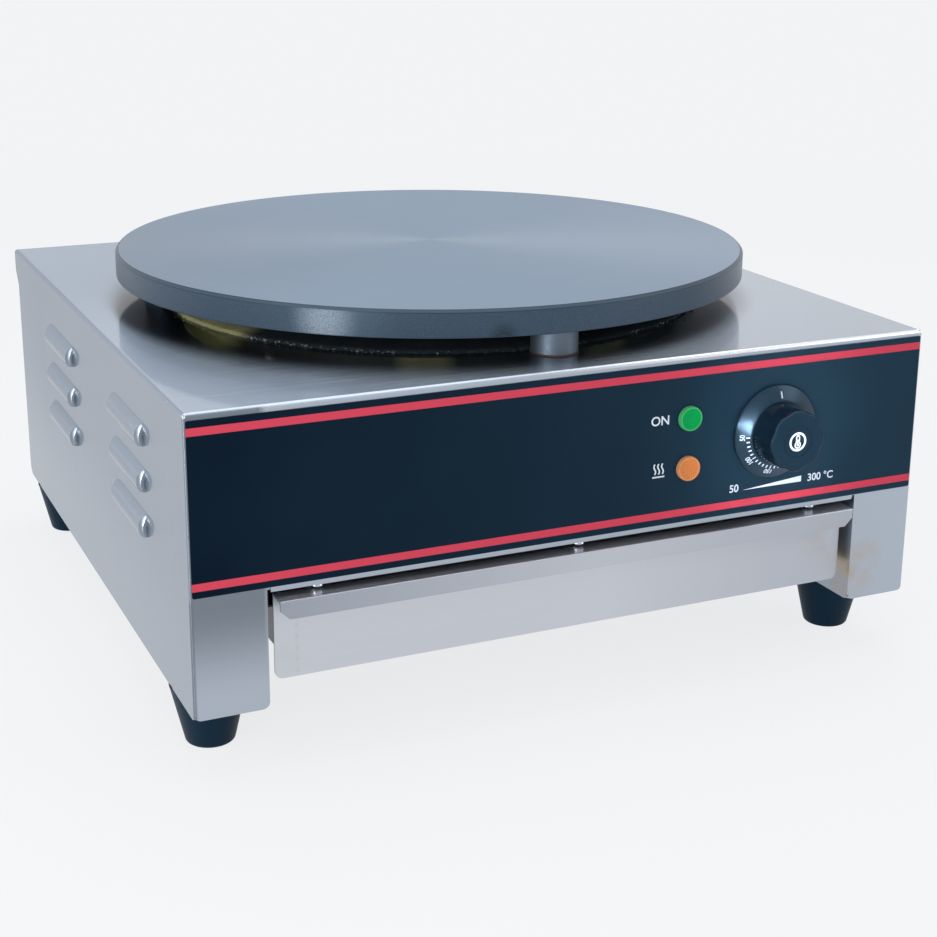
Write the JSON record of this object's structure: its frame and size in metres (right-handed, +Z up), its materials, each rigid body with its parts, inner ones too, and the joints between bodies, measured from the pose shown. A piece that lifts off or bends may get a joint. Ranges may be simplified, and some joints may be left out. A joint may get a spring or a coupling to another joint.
{
  "type": "electric crepe maker",
  "caption": "Countertop electric crepe maker: round cast-iron griddle on a stainless casing with fascia, thermostat knob, lamps and drawer.",
  "frame": {"origin": "on the worktop under the middle of the whole object, knob and cable gland included", "axes": "+X to the right, +Y to the back, +Z up; the front with the knob and drawer faces -Y"},
  "size_m": [0.459, 0.5, 0.233],
  "materials": {
    "casing_steel": "brushed stainless steel, grain along the width",
    "fascia_film": "satin printed film, near black with two red stripes",
    "zinc_steel": "zinc-plated steel",
    "foot_rubber": "moulded black rubber",
    "plate_iron": "machined and seasoned cast iron",
    "support_metal": "as-cast, light grey",
    "fibre_washer": "red-brown vulcanised fibre",
    "insulation": "ceramic fibre board, rough edges",
    "yellow_zinc": "yellow passivated zinc, khaki",
    "element_sheath": "oxidised steel tube",
    "copper": "drawn copper",
    "thermostat_case": "pressed zinc-plated case",
    "knob_black": "moulded phenolic, semi-gloss",
    "lens_green": "clear green lens with a waffle grid",
    "lens_orange": "clear orange lens with a waffle grid",
    "lamp_housing": "white nylon",
    "terminal_ceramic": "unglazed steatite",
    "brass": "turned brass",
    "gland_plastic": "black nylon",
    "wire_brown": "silicone-sheathed wire",
    "wire_blue": "silicone-sheathed wire",
    "wire_black": "silicone-sheathed wire",
    "wire_green": "silicone-sheathed wire"
  },
  "bodies": {
    "casing": {"back_panel": "casing_steel", "back_panel_screws": "zinc_steel", "bay_floor": "casing_steel", "bulb_clip": "zinc_steel", "bulb_clip_screw": "zinc_steel", "cable_gland_body": "gland_plastic", "cable_gland_dome_nut": "gland_plastic", "cable_gland_locknut": "gland_plastic", "cable_gland_seal": "foot_rubber", "capillary_tube": "copper", "drawer_runner_left": "casing_steel", "drawer_runner_right": "casing_steel", "earth_stud": "brass", "earth_stud_nut": "brass", "foot_front_left": "foot_rubber", "foot_front_right": "foot_rubber", "foot_nuts": "zinc_steel", "foot_rear_left": "foot_rubber", "foot_rear_right": "foot_rubber", "foot_screws": "zinc_steel", "front_film": "fascia_film", "front_fold_screws": "zinc_steel", "griddle_plate": "plate_iron", "heat_lamp_body": "lamp_housing", "heat_lamp_lens": "lens_orange", "heater_pan": "yellow_zinc", "heater_pan_screws": "zinc_steel", "heating_element_inner": "element_sheath", "heating_element_outer": "element_sheath", "insulation_disc": "insulation", "insulation_pad": "insulation", "lamp_clips": "zinc_steel", "lamp_leads": "wire_black", "outer_casing": "casing_steel", "plate_bolts": "zinc_steel", "plate_support_front": "support_metal", "plate_support_left": "support_metal", "plate_support_right": "support_metal", "power_lamp_body": "lamp_housing", "power_lamp_lens": "lens_green", "sensing_bulb": "copper", "support_washers": "fibre_washer", "terminal_block": "terminal_ceramic", "terminal_block_screws": "zinc_steel", "thermostat_body": "thermostat_case", "thermostat_screws": "zinc_steel", "wire_earth": "wire_green", "wire_heater_link": "wire_black", "wire_live_feed": "wire_brown", "wire_live_heater": "wire_brown", "wire_neutral": "wire_blue"},
    "drawer": {"drawer_front": "casing_steel", "drawer_tray": "casing_steel"},
    "knob": {"knob_skirt": "knob_black", "knob_grip": "knob_black", "knob_cap": "knob_black", "thermostat_shaft": "zinc_steel"}
  },
  "joints": [
    {"name": "drawer_slide", "type": "slide", "parent": "casing", "child": "drawer", "axis": [0, -1, 0], "range_m": [0, 0.32]},
    {"name": "knob_turn", "type": "hinge", "parent": "casing", "child": "knob", "pos_m": [0.1226, -0.2255, 0.151], "axis": [0, 1, 0], "range_deg": [0, 300]}
  ]
}
